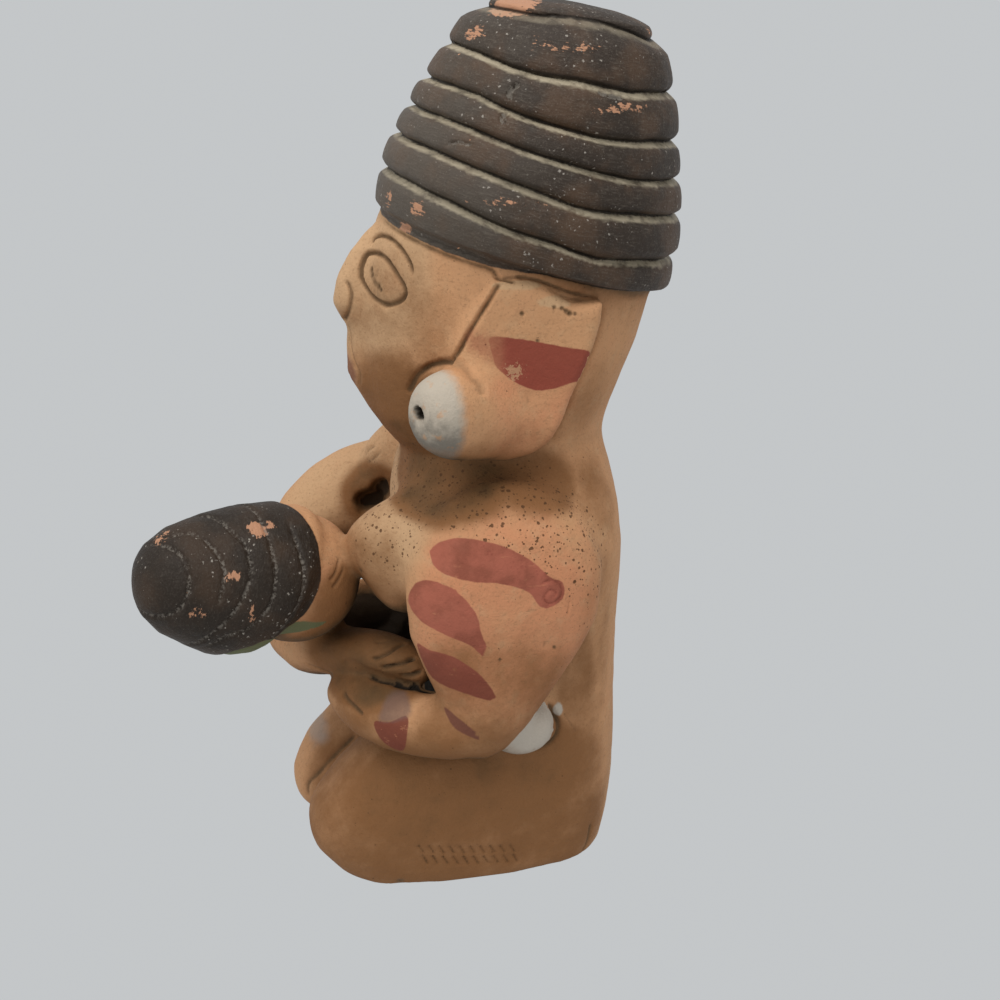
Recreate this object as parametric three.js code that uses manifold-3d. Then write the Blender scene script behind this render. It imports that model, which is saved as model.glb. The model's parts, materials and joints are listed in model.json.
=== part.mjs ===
// A kneeling mother nursing her child: a fired clay figure made as one piece, with a coiled turban,
// plaque-shaped ears with rolled tubes, and the child's capped head held out in front of her breast.
// Millimetres, +Z up. The mother faces -Y, her left side is +X, and the finished figure's origin is at
// the middle of its flat underside, BASE_MIDDLE behind the point that the stations are measured from.
import * as THREE from "three";
import { mergeVertices } from "three/addons/utils/BufferGeometryUtils.js";
import Module from "manifold-3d";

const wasm = await Module();
wasm.setup();

// Driving dimensions
const CLAY = { color: 0xa9714f, roughness: 0.85, metalness: 0 };
const BASE_MIDDLE = 7; // from the stations' zero back to the middle of the underside

const RIM_CENTRE = { y: 24.5, z: 208.5 }; // middle of the turban's lower edge
const RIM_RADIUS = 47;
const TURBAN_HEIGHT = 72;
const TURBAN_LEAN = 15; // how far the crown sits behind the rim
const RIM_TILT = 17; // degrees that the lowest coil dips towards the nape
const CROWN_TILT = 9; // the same for the highest one
const FURROW_DEPTH = 2; // between the coils of the turban

const CHILD_HEAD = new THREE.Vector3(11, -53, 105); // middle of the child's face
const CHILD_HEAD_RADIUS = 21.5;
const CHILD_CROWN = new THREE.Vector3(0.34, -0.91, 0.22).normalize(); // the way its crown points
const CAP_EDGE = 7; // from the middle of the face to the cap's edge
const CAP_LENGTH = 45;
const CAP_RADIUS = 24.6;
const CAP_SLANT = 22; // degrees that the cap's edge and furrows lean against its length
const CAP_FURROW_DEPTH = 0.8;

const EAR_INNER = 30; // from the middle of the figure
const EAR_OUTER = 43.5;
const EAR_TURN = 8; // degrees that the plaque's face turns to the front, about its middle
const EAR_MIDDLE = 15;
const EAR_HOLE = 4; // across the hole in the end of the rolled tube
const EAR_HOLE_DEPTH = 9;

const UP = new THREE.Vector3(0, 0, 1);
const BACK = new THREE.Vector3(0, 1, 0);
const LEFT = new THREE.Vector3(1, 0, 0);

const radians = THREE.MathUtils.degToRad;
const lerp = THREE.MathUtils.lerp;
const signedPower = (value, power) => Math.sign(value) * Math.abs(value) ** power;

// Joining and cutting

function solid(geometry) {
  const bare = geometry.index ? geometry.toNonIndexed() : geometry.clone();
  for (const name of ["normal", "uv"]) bare.deleteAttribute(name);
  const merged = mergeVertices(bare, 1e-4);
  return new wasm.Manifold(
    new wasm.Mesh({
      numProp: 3,
      vertProperties: merged.attributes.position.array,
      triVerts: new Uint32Array(merged.index.array),
    }),
  );
}

function geometryOf(manifold) {
  const mesh = manifold.getMesh();
  return new THREE.BufferGeometry()
    .setAttribute("position", new THREE.BufferAttribute(mesh.vertProperties, 3))
    .setIndex(new THREE.BufferAttribute(mesh.triVerts, 1));
}

const joined = (solids) => solids.reduce((whole, piece) => whole.add(piece));

// The same form on the other side of the figure.
function otherSide(manifold) {
  const geometry = geometryOf(manifold).scale(-1, 1, 1);
  const corners = geometry.index.array;
  for (let i = 0; i < corners.length; i += 3) [corners[i], corners[i + 1]] = [corners[i + 1], corners[i]];
  return solid(geometry);
}

// A value read from a list of [share, value] steps, straight between them.
function between(steps, share) {
  const found = steps.findIndex(([at]) => at >= share);
  const next = found < 1 ? (found < 0 ? steps.length - 1 : 1) : found;
  const [a0, v0] = steps[next - 1];
  const [a1, v1] = steps[next];
  return lerp(v0, v1, (share - a0) / (a1 - a0));
}

// A ball of clay pulled along its stations, each [x, y, z, half width, half depth]. "facing" is the way
// that the depth is measured. "blunt" is 2 for an egg and more for a fuller end, "square" 2 for an oval
// section and more for a boxy one. An "upright" form keeps its sections level.
function pulled(stations, options) {
  const { facing = BACK, upright = false, blunt = 4, square = 2, around = 24, along = 16 } = options;
  const curve = (points) => new THREE.CatmullRomCurve3(points, false, "catmullrom", 0.5);
  const spine = curve(stations.map(([x, y, z]) => new THREE.Vector3(x, y, z)));
  const halves = curve(stations.map(([, , , width, depth]) => new THREE.Vector3(width, depth, 0)));
  const ball = new THREE.SphereGeometry(1, around, along);
  const place = ball.attributes.position;
  for (let i = 0; i < place.count; i++) {
    const share = THREE.MathUtils.clamp((1 - place.getY(i)) / 2, 0, 1);
    const angle = Math.atan2(place.getZ(i), place.getX(i));
    const tangent = upright ? UP : spine.getTangent(share);
    const across = new THREE.Vector3().crossVectors(facing, tangent).normalize();
    const deep = new THREE.Vector3().crossVectors(tangent, across);
    const end = Math.max(0, 1 - Math.abs(2 * share - 1) ** blunt) ** (1 / blunt);
    const half = halves.getPoint(share).multiplyScalar(end);
    const moved = spine
      .getPoint(share)
      .addScaledVector(across, half.x * signedPower(Math.cos(angle), 2 / square))
      .addScaledVector(deep, half.y * signedPower(Math.sin(angle), 2 / square));
    place.setXYZ(i, moved.x, moved.y, moved.z);
  }
  return solid(ball);
}

// A lathed form whose points are then set in place by "at", from their height, radius and angle.
function turned(profile, around, at) {
  const lathe = new THREE.LatheGeometry(profile, around);
  const place = lathe.attributes.position;
  for (let i = 0; i < place.count; i++) {
    const [x, y, z] = [place.getX(i), place.getY(i), place.getZ(i)];
    const moved = at(y, Math.hypot(x, z), Math.atan2(-z, x));
    place.setXYZ(i, moved.x, moved.y, moved.z);
  }
  return solid(lathe);
}

// The outline of a stack of coils: "edges" are the furrows' heights as shares, "width" a share of
// "radius" at each height. Each coil swells out between its furrows.
function coilOutline(edges, widths, radius, furrow, steps) {
  const outline = [new THREE.Vector2(0, edges[0])];
  edges.forEach((low, i) => {
    const high = edges[i + 1] ?? 1;
    for (let k = 0; k < steps; k++) {
      const share = lerp(low, high, k / steps);
      const swell = Math.sin((Math.PI * k) / steps) ** 0.4;
      outline.push(new THREE.Vector2(radius * between(widths, share) - furrow * (1 - swell), share));
    }
  });
  outline.push(new THREE.Vector2(0, 1));
  return outline;
}

// Trunk and kneeling legs

const trunkStations = [
  [0, 21.5, -14, 41, 31.5],
  [0, 22.5, 25, 42, 33],
  [0, 23, 58, 40.5, 32.5],
  [0, 20.5, 88, 42, 35],
  [0, 19, 112, 47, 37],
  [0, 18, 127, 45, 36.5],
  [0, 18, 139, 37, 34],
  [0, 18.5, 152, 28, 31],
];

const legStations = [
  [20, -53.5, 22, 12, 10.5],
  [20.5, -45, 20.5, 18, 18.5],
  [21, -31, 20, 20.5, 30],
  [21.5, -10, 20, 21.5, 38],
  [21.5, 14, 20, 21.5, 40],
  [20.5, 34, 20, 20.5, 37],
  [19, 46, 18, 13, 24],
];

const farLegStations = [
  [-16, -55.5, 10.5, 12, 12],
  [-17.5, -46, 12, 17.5, 16],
  [-20, -31, 16, 20, 25],
  [-21.5, -10, 20, 21.5, 38],
  [-21.5, 14, 20, 21.5, 40],
  [-20.5, 34, 20, 20.5, 37],
  [-19, 46, 18, 13, 24],
];

function trunkAndLegs() {
  const leg = { facing: UP, blunt: 3, square: 2.4, around: 18, along: 10 };
  return [
    pulled(trunkStations, { upright: true, blunt: 9, square: 2.5, around: 28, along: 16 }),
    pulled(legStations, leg),
    pulled(farLegStations, leg),
  ];
}

// Head and face

const headStations = [
  [0, 19, 130, 24, 31],
  [0, 17.5, 143, 27, 32.5],
  [0, 13.5, 156, 34, 39],
  [0, 14.5, 170, 38.5, 43],
  [0, 17, 185, 40, 46],
  [0, 19.5, 199, 40.5, 46.5],
  [0, 22.5, 212, 41, 45.5],
  [0, 25, 226, 38, 41],
  [0, 27, 238, 30, 34],
];

const noseStations = [
  [0, -19, 217, 3.5, 4],
  [0, -25, 208, 4.5, 4.5],
  [0, -29.5, 199, 6, 5],
  [0, -30, 191, 8, 6],
  [0, -27, 185, 6, 4],
];

const muzzleStations = [
  [0, -26.5, 188, 7, 6.5],
  [0, -27, 178, 9.5, 5.3],
  [0, -26.5, 170, 11, 5],
  [0, -24.5, 160, 9, 4.5],
];

const lipStations = [
  [-9, -25, 169.5, 3, 3.5],
  [0, -29, 170, 3.6, 4.5],
  [9, -25, 169.5, 3, 3.5],
];

function head() {
  return [
    pulled(headStations, { upright: true, blunt: 9, square: 2.1, around: 28, along: 17 }),
    pulled(noseStations, { blunt: 3, around: 12, along: 8 }),
    pulled(muzzleStations, { blunt: 3, around: 10, along: 6 }),
    pulled(lipStations, { facing: UP, blunt: 2.5, around: 10, along: 6 }),
  ];
}

// Breasts

const breastStations = [
  [24, -4, 114, 19, 23],
  [22, -18, 115, 17.5, 21.5],
  [20, -27, 115.5, 13, 15.5],
  [18.5, -32, 115, 9, 10.5],
  [17.5, -36, 113.5, 5.5, 6.5],
];

const farBreastStations = [
  [-22, -2, 106, 16, 17],
  [-21, -12, 104, 14, 14],
  [-20, -20, 102, 9, 9],
  [-19, -25, 101, 5, 5],
];

// Clay dragged from the left breast over to the arm
const slopeStations = [
  [20, -9, 124, 14, 15],
  [34, -8, 119, 15, 17],
  [46, -1, 110, 12, 19],
];

function breasts() {
  const breast = { facing: UP, blunt: 3, around: 16, along: 10 };
  return [
    pulled(breastStations, breast),
    pulled(farBreastStations, breast),
    pulled(slopeStations, { facing: UP, blunt: 3, around: 14, along: 7 }),
  ];
}

// Arms: the left one hangs down the side and its forearm crosses the lap, the right one reaches round
// the child's head and lays its hand over the child's body

const upperArmStations = [
  [34, 13, 142, 12, 22],
  [42, 11, 129, 15, 29],
  [45.5, 9.5, 112, 14.5, 32],
  [46.5, 6.5, 94, 13.5, 28],
  [48, 4.5, 78, 12, 19.5],
  [49, 2, 66, 11, 14.5],
  [48, -1, 53, 8, 10],
];

const forearmStations = [
  [47, 8, 67, 10, 10],
  [48, -4, 64.5, 10.5, 11],
  [41, -18, 63.5, 10.5, 11],
  [30, -29, 63, 10.5, 10.5],
  [18, -36, 64, 10, 9],
  [10, -39.5, 66, 8.5, 7.5],
];

const farShoulderStations = [
  [-33, 13, 141, 12, 22],
  [-41, 10, 129, 14.5, 29],
  [-45, 5, 115, 14.5, 31],
  [-46, -2, 102, 12.5, 25],
  [-45, -8, 88, 8, 14],
];

const farArmStations = [
  [-42, 2, 116, 24, 12],
  [-48, -14, 111, 21.5, 12.5],
  [-51, -31, 107, 17.5, 12],
  [-52.5, -44, 98, 13, 11.5],
  [-48, -52, 84, 11.5, 11.5],
  [-36, -53, 71, 10.5, 10.5],
  [-18, -50, 66, 9.5, 10.5],
  [0, -41, 71, 8.5, 12.5],
  [14, -30, 77, 8, 12.5],
  [27, -19, 79, 7, 11],
  [36, -13, 77, 5.5, 8.5],
];
const FAR_ARM_FACING = new THREE.Vector3(-0.5, 0.8, -0.3); // square to most of that arm's bends

function arms() {
  return [
    pulled(upperArmStations, { blunt: 3, around: 20, along: 14 }),
    pulled(forearmStations, { facing: UP, blunt: 3.5, around: 16, along: 12 }),
    pulled(farShoulderStations, { blunt: 3, around: 16, along: 9 }),
    pulled(farArmStations, { facing: FAR_ARM_FACING, blunt: 4, around: 12, along: 22 }),
  ];
}

// Turban of coils

const turbanFurrows = [0, 0.13, 0.295, 0.43, 0.56, 0.735, 0.93];
const turbanWidths = [
  [0, 1],
  [0.165, 1.01],
  [0.31, 0.965],
  [0.42, 0.915],
  [0.57, 0.845],
  [0.74, 0.75],
  [0.86, 0.655],
  [0.95, 0.5],
  [1, 0.3],
];

function turbanPoint(share, radius, angle) {
  const tilt = radians(lerp(RIM_TILT, CROWN_TILT, share));
  const across = radius * Math.sin(angle);
  return new THREE.Vector3(
    radius * Math.cos(angle),
    RIM_CENTRE.y + TURBAN_LEAN * share + across * Math.cos(tilt),
    RIM_CENTRE.z + TURBAN_HEIGHT * share - across * Math.sin(tilt),
  );
}

function turban() {
  const outline = coilOutline(turbanFurrows, turbanWidths, RIM_RADIUS, FURROW_DEPTH, 4);
  return turned(outline, 36, turbanPoint);
}

// Ears: an upright plaque with its lower front corner rolled into a tube

const earOutline = [
  [8, 207.2],
  [18.5, 205.9],
  [24, 203.8],
  [27.5, 201],
  [31.5, 199],
  [40.2, 199.3],
  [39.8, 193],
  [38, 186.5],
  [35, 178.5],
  [32, 172],
  [29, 163.5],
  [25.5, 156.8],
  [20, 152.2],
  [12, 150.5],
  [2, 151],
  [-7, 155],
  [-9, 170],
  [-5, 186],
];

const tubeStations = [
  [32, 25, 163.5, 6, 9],
  [36.5, 13, 163.5, 9.5, 12],
  [41.5, 2, 166, 11, 14],
  [46, -7, 169, 11, 14],
  [49, -13, 170, 11, 12.5],
  [51.5, -18, 170.5, 9, 10],
];

function ear() {
  const bevel = 1.6;
  const corners = earOutline.map(([y, z]) => new THREE.Vector2(y, z));
  const plaque = new THREE.ExtrudeGeometry(new THREE.Shape(corners), {
    depth: EAR_OUTER - EAR_INNER - bevel,
    bevelThickness: bevel,
    bevelSize: bevel,
    bevelOffset: -bevel,
    bevelSegments: 1,
  });
  // The shape's x and y become the figure's Y and Z, and its depth the figure's X.
  plaque.applyMatrix4(new THREE.Matrix4().makeBasis(BACK, UP, LEFT)).translate(0, -EAR_MIDDLE, 0);
  plaque.rotateZ(-radians(EAR_TURN)).translate(EAR_INNER, EAR_MIDDLE, 0);

  const [endX, endY, endZ] = tubeStations.at(-1);
  const [nextX, nextY] = tubeStations.at(-2);
  const outwards = new THREE.Vector3(endX - nextX, endY - nextY, 0).normalize();
  const hole = new THREE.CylinderGeometry(EAR_HOLE / 2, EAR_HOLE / 2, 2 * EAR_HOLE_DEPTH, 12);
  hole.applyQuaternion(new THREE.Quaternion().setFromUnitVectors(BACK, outwards));
  hole.translate(endX, endY, endZ);
  return solid(plaque)
    .add(pulled(tubeStations, { facing: UP, blunt: 3.5, around: 16, along: 10 }))
    .subtract(solid(hole));
}

// Child: a round head with a coiled cap, and the body that lies across the lap with one foot showing

const capFurrows = [0, 0.2, 0.42, 0.62, 0.8];
const capWidths = [
  [0, 0.98],
  [0.2, 1],
  [0.4, 0.95],
  [0.6, 0.84],
  [0.78, 0.68],
  [0.9, 0.48],
  [0.97, 0.28],
  [1, 0.1],
];

function capPoint(share, radius, angle) {
  const side = new THREE.Vector3().crossVectors(UP, CHILD_CROWN).normalize();
  const over = new THREE.Vector3().crossVectors(CHILD_CROWN, side);
  const height = radius * Math.sin(angle);
  const slant = -height * Math.tan(radians(CAP_SLANT)) * (1 - share);
  return CHILD_HEAD.clone()
    .addScaledVector(CHILD_CROWN, CAP_EDGE + CAP_LENGTH * share + slant)
    .addScaledVector(side, radius * Math.cos(angle))
    .addScaledVector(over, height);
}

const bodyStations = [
  [4, -50, 88, 10, 10],
  [-8, -40, 78, 12, 13],
  [-20, -27, 72, 13, 15],
  [-24, -8, 70, 13, 15],
];

const footStations = [
  [36, 2, 60, 8, 8],
  [41, 11, 59, 9, 9.5],
  [42, 19, 58.5, 8.5, 9.5],
  [42, 26, 58, 6, 7],
];

function child() {
  const { x, y, z } = CHILD_HEAD;
  const face = new THREE.SphereGeometry(CHILD_HEAD_RADIUS, 18, 11).translate(x, y, z);
  const outline = coilOutline(capFurrows, capWidths, CAP_RADIUS, CAP_FURROW_DEPTH, 4);
  return [
    solid(face),
    turned(outline, 24, capPoint),
    pulled(bodyStations, { facing: UP, blunt: 3.5, around: 14, along: 7 }),
    pulled(footStations, { facing: UP, blunt: 3, around: 12, along: 7 }),
  ];
}

function aboveGround() {
  const size = 400;
  return solid(new THREE.BoxGeometry(size, size, size).translate(0, 0, size / 2));
}

const leftEar = ear();
const figure = joined([
  ...trunkAndLegs(),
  ...head(),
  ...breasts(),
  ...arms(),
  ...child(),
  turban(),
  leftEar,
  otherSide(leftEar),
]).intersect(aboveGround());

const clayBody = geometryOf(figure).translate(0, -BASE_MIDDLE, 0);
const statue = new THREE.Mesh(clayBody, new THREE.MeshStandardMaterial(CLAY));
statue.name = "mother_and_child";

const model = new THREE.Group();
model.add(statue);
export default model;
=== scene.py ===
# A fired clay mother with her child, made as one piece: smooth hand-modelled clay, an incised face, a
# turban and a cap in dark brushed slip, plaque ears with rolled tubes, and faded paint.
import json
import math

import bpy
import numpy as np
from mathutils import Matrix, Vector, noise
from mathutils.bvhtree import BVHTree

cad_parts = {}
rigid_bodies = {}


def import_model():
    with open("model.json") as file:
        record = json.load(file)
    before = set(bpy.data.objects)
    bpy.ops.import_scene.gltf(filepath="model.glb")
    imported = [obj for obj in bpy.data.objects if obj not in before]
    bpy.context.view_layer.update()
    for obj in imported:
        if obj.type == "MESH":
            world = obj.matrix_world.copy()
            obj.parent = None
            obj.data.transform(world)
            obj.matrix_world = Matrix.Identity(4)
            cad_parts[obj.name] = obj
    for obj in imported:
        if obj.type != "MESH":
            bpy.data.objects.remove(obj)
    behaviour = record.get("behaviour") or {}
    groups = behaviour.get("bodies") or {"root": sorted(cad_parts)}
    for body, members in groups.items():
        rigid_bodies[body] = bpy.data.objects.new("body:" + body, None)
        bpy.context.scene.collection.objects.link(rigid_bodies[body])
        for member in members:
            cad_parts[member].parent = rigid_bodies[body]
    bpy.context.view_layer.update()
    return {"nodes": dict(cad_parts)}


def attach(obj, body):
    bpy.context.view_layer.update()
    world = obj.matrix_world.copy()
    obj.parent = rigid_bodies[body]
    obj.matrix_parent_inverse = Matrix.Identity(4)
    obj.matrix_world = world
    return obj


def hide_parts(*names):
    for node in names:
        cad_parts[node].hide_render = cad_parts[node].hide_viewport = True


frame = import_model()
bpy.ops.object.select_all(action="DESELECT")
print("frame loaded")

mm = 0.001  # the shaping below works in millimetres

# Camera, lamps and floor

view = {
    "place": (0.4564, -0.0866, 0.3100),
    "turn": 78,  # degrees from looking along +Y
    "down": 22,
    "lens": 54,
}

lamps = [
    {"name": "overhead", "place": (0.25, -0.12, 1.10), "aim": (0, 0, 0.1), "size": 1.0, "watts": 5.8},
    {"name": "window", "place": (0.45, -1.00, 0.90), "aim": (0, 0, 0.15), "size": 1.1, "watts": 2.6},
]

# Light comes from all round off pale walls, so the floor hardly shows a shadow
room = {"air": (0.95, 0.98, 1.0, 1), "strength": 0.58, "floor": (0.78, 0.805, 0.84, 1), "floorRadius": 8}


def addCamera():
    turned = (math.radians(90 - view["down"]), 0, math.radians(view["turn"]))
    bpy.ops.object.camera_add(location=view["place"], rotation=turned)
    camera = bpy.context.object
    camera.data.lens = view["lens"]
    camera.data.clip_end = 40
    bpy.context.scene.camera = camera


def addLamp(lamp):
    place = Vector(lamp["place"])
    facing = (Vector(lamp["aim"]) - place).to_track_quat("-Z", "Y").to_euler()
    bpy.ops.object.light_add(type="AREA", location=place, rotation=facing)
    light = bpy.context.object
    light.name = lamp["name"]
    light.data.shape = "DISK"
    light.data.size = lamp["size"]
    light.data.energy = lamp["watts"]


def addWorld():
    world = bpy.data.worlds.new("studio")
    world.use_nodes = True
    background = world.node_tree.nodes["Background"]
    background.inputs["Color"].default_value = room["air"]
    background.inputs["Strength"].default_value = room["strength"]
    bpy.context.scene.world = world
    bpy.context.scene.view_settings.view_transform = "Standard"


def addFloor():
    bpy.ops.mesh.primitive_circle_add(vertices=96, radius=room["floorRadius"], fill_type="NGON")
    floor = bpy.context.object
    floor.name = "floor"
    paper = bpy.data.materials.new("pale paper")
    paper.use_nodes = True
    shader = paper.node_tree.nodes["Principled BSDF"]
    shader.inputs["Base Color"].default_value = room["floor"]
    shader.inputs["Roughness"].default_value = 0.9
    floor.data.materials.append(paper)


addCamera()
for lamp in lamps:
    addLamp(lamp)
addWorld()
addFloor()
print("camera, lamps and floor set")

# Working with the clay surface as arrays of points


def readPoints(piece):
    flat = np.empty(len(piece.data.vertices) * 3)
    piece.data.vertices.foreach_get("co", flat)
    return flat.reshape(-1, 3) / mm


def writePoints(piece, points):
    piece.data.vertices.foreach_set("co", (points * mm).ravel())
    piece.data.update()


def readNormals(piece):
    flat = np.empty(len(piece.data.vertices) * 3)
    piece.data.vertex_normals.foreach_get("vector", flat)
    return flat.reshape(-1, 3)


def readNeighbours(piece):
    # The edges as pairs of points, and how many edges meet at each point
    flat = np.empty(len(piece.data.edges) * 2, dtype=np.int32)
    piece.data.edges.foreach_get("vertices", flat)
    count = np.maximum(np.bincount(flat, minlength=len(piece.data.vertices)), 1)
    return flat.reshape(-1, 2), count


def keep(piece, name, values):
    # Stores a number for each point, which the material reads by its name
    layer = piece.data.attributes.new(name, "FLOAT", "POINT")
    layer.data.foreach_set("value", values)


def selectPoints(piece, chosen):
    # Leaves the piece in edit mode with only the chosen points selected
    bpy.ops.object.mode_set(mode="EDIT")
    bpy.ops.mesh.select_mode(type="VERT")
    bpy.ops.mesh.select_all(action="DESELECT")
    bpy.ops.object.mode_set(mode="OBJECT")
    piece.data.vertices.foreach_set("select", chosen)
    bpy.ops.object.mode_set(mode="EDIT")


def distance(points, spot, halves=1):
    # How far points lie from a spot, where halves are the half sizes that count as 1
    return np.linalg.norm((points - spot) / halves, axis=1)


def ease(share):
    held = np.clip(share, 0, 1)
    return held * held * (3 - 2 * held)


def neighbourMean(values, pairs, count):
    first, second = pairs.T
    mean = np.empty_like(values)
    for axis in range(values.shape[1]):
        column = values[:, axis]
        ahead = np.bincount(first, column[second], len(values))
        behind = np.bincount(second, column[first], len(values))
        mean[:, axis] = (ahead + behind) / count
    return mean


def relax(piece, weight, rounds, filling=False):
    # Rubs the clay smooth. Filling only raises hollows, as a finger drags clay into a joint.
    points = readPoints(piece)
    pairs, count = readNeighbours(piece)
    normals = readNormals(piece)
    for turn in range(rounds):
        step = neighbourMean(points, pairs, count) - points
        if filling:
            if turn % 10 == 9:
                writePoints(piece, points)
                normals = readNormals(piece)
            step *= ((step * normals).sum(1) > 0)[:, None]
        points += step * weight[:, None]
    points[:, 2] = np.maximum(points[:, 2], 0)
    writePoints(piece, points)


def zoneAmount(points, zones):
    # Each zone is a soft ball: [x, y, z, half sizes, amount], full to half way out
    amount = np.zeros(len(points))
    for x, y, z, halfX, halfY, halfZ, full in zones:
        away = distance(points, (x, y, z), (halfX, halfY, halfZ))
        amount = np.maximum(amount, full * ease(2 - 2 * away))
    return amount


def bothSides(*zones):
    return [[side * zone[0], *zone[1:]] for zone in zones for side in (1, -1)]


def smoothPath(corners, closed=False, gap=0.5):
    # A rounded line through its corners, as close points
    corners = np.array(corners, float)
    if closed:
        track = np.vstack([corners[-1:], corners, corners[:2]])
    else:
        track = np.vstack([2 * corners[0] - corners[1], corners, 2 * corners[-1] - corners[-2]])
    path = []
    for before, start, end, after in zip(track, track[1:], track[2:], track[3:]):
        steps = max(2, int(np.linalg.norm(end - start) / gap))
        for share in np.arange(steps) / steps:
            straight = (end - before) / 2 * share
            bend = (before - 2.5 * start + 2 * end - after / 2) * share**2
            turn = (1.5 * start - before / 2 - 1.5 * end + after / 2) * share**3
            path.append(start + straight + bend + turn)
    if not closed:
        path.append(corners[-1])
    return np.array(path)


def nearPath(points, path, reach):
    # The points within reach of a path, how far off they are, and how far along it they lie
    inside = ((points > path.min(0) - reach) & (points < path.max(0) + reach)).all(1)
    near = np.flatnonzero(inside)
    gaps = np.full(len(near), np.inf)
    along = np.zeros(len(near))
    for index, spot in enumerate(path):
        gap = ((points[near] - spot) ** 2).sum(1)
        closer = gap < gaps
        gaps[closer] = gap[closer]
        along[closer] = index
    gaps = np.sqrt(gaps)
    close = gaps < reach
    return near[close], gaps[close], along[close] / max(1, len(path) - 1)


def softNoise(points, size, seed=0.0):
    # Smooth noise from -1 to 1 with features of about the given size
    spots = points / size + seed
    return np.array([noise.noise(spot) for spot in spots.tolist()])


# The clay body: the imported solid, merged, remeshed and rubbed smooth

clay = {
    "voxel": 1.15,
    "quickVoxel": 1.7,
    "triangles": 190000,
    "rub": 0.6,  # how far one stroke moves the clay
    "rubs": 9,
    "fills": 70,
}

# Where clay was dragged into the joints: shoulders, neck, flank, breasts, child and feet
joints = bothSides([36, 24, 128, 34, 34, 28, 1], [44, -3, 172, 14, 15, 20, 0.8],
                   [44, 10, 162, 12, 16, 12, 0.7])
joints += [
    [36, -26, 124, 20, 18, 24, 1],
    [22, -26, 134, 22, 18, 14, 1],
    [34, -8, 132, 26, 24, 20, 1],
    [-36, 2, 136, 26, 20, 18, 0.8],
    [0, -14, 138, 22, 18, 12, 0.5],
    [0, 50, 95, 60, 24, 96, 0.9],
    [46, 26, 116, 18, 18, 24, 0.8],
    [-46, 20, 104, 24, 24, 40, 0.9],
    [40, 12, 22, 26, 64, 32, 1],
    [-40, 12, 22, 26, 64, 40, 1],
    [13, -66, 107, 30, 11, 30, 0.8],
    [2, -46, 28, 16, 26, 34, 0.9],
    [-8, -44, 70, 30, 24, 10, 0.3],
    [0, -24, 180, 24, 20, 34, 0.7],
    [53, 3, 65, 9, 12, 13, 1],
]

# What keeps its edges: the nose, the ears' rims, the forearm and the hands
crisp = bothSides([43, 27, 180, 16, 20, 48, 0.97], [42, 10, 204, 12, 26, 12, 0.8])
crisp += [
    [0, -38, 196, 12, 12, 18, 0.6],
    [30, -36, 58, 30, 26, 12, 0.4],
    [34, -30, 78, 18, 18, 12, 0.5],
]


def clayBody():
    source = frame["nodes"]["mother_and_child"]
    piece = bpy.data.objects.new("clay_mother_and_child", source.data.copy())
    bpy.context.collection.objects.link(piece)
    piece.data.materials.clear()
    bpy.context.view_layer.objects.active = piece
    piece.select_set(True)
    bpy.ops.object.mode_set(mode="EDIT")
    bpy.ops.mesh.select_all(action="SELECT")
    bpy.ops.mesh.remove_doubles(threshold=0.01 * mm)
    bpy.ops.object.mode_set(mode="OBJECT")
    skin = piece.modifiers.new("skin", "REMESH")
    skin.mode = "VOXEL"
    skin.voxel_size = clay["voxel"] * mm
    bpy.ops.object.modifier_apply(modifier=skin.name)
    print("remeshed,", len(piece.data.vertices), "points")
    return piece


def rubSmooth(piece):
    points = readPoints(piece)
    weight = clay["rub"] * (1 - zoneAmount(points, crisp))
    relax(piece, weight, clay["rubs"])
    relax(piece, 0.9 * zoneAmount(readPoints(piece), joints), clay["fills"], filling=True)
    relax(piece, weight, clay["rubs"] // 2)
    print("rubbed smooth")


def refine(piece, zones):
    # Halves the mesh where finer detail comes
    selectPoints(piece, zoneAmount(readPoints(piece), zones) > 0.01)
    bpy.ops.mesh.subdivide(number_cuts=1, smoothness=0)
    bpy.ops.object.mode_set(mode="OBJECT")
    print("refined,", len(piece.data.vertices), "points")


# Turban: coils of clay laid one on the other, each lower edge lapping over the coil below

turban = {
    "rim": (17.5, 208.5),  # middle of the lower edge, y and z
    "radius": 47,
    "height": 72,
    "lean": 15,
    "rimTilt": 17,
    "crownTilt": 9,
    "notch": 2.8,
    "belly": 0.9,
    "widths": [(0, 1), (0.165, 1.01), (0.31, 0.965), (0.42, 0.915), (0.57, 0.845), (0.74, 0.75),
               (0.86, 0.655), (0.95, 0.5), (1, 0.3)],
}

# The furrows between the coils, and the rim: how high they run at each angle, -90 being the front.
# They were picked in the photo and cast onto the solid.
coilRim = [(-65, -0.05), (-42, -0.055), (-25, -0.05), (-3, -0.022), (23, -0.022), (90, -0.005),
           (180, -0.02), (230, -0.03)]
coilFurrows = [
    [(-67, 0.169), (-46, 0.156), (-32, 0.136), (-19, 0.119), (-4, 0.115), (5, 0.102), (14, 0.094),
     (34, 0.115), (65, 0.127)],
    [(-61, 0.327), (-42, 0.316), (-30, 0.306), (-19, 0.296), (-8, 0.282), (2, 0.270), (11, 0.270),
     (30, 0.284)],
    [(-81, 0.459), (-62, 0.463), (-46, 0.456), (-34, 0.443), (-22, 0.430), (0, 0.415), (12, 0.410),
     (25, 0.406), (41, 0.412)],
    [(-79, 0.591), (-63, 0.593), (-48, 0.589), (-37, 0.569), (-25, 0.551), (-14, 0.542), (7, 0.533),
     (18, 0.536), (37, 0.550)],
    [(-79, 0.753), (-59, 0.746), (-37, 0.723), (-21, 0.717), (-5, 0.726), (24, 0.714), (39, 0.726)],
    [(-34, 0.930), (-14, 0.945), (8, 0.945), (33, 0.926), (51, 0.904), (140, 0.91)],
]


def turbanTilt(share):
    return np.radians(turban["rimTilt"] + (turban["crownTilt"] - turban["rimTilt"]) * share)


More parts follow.
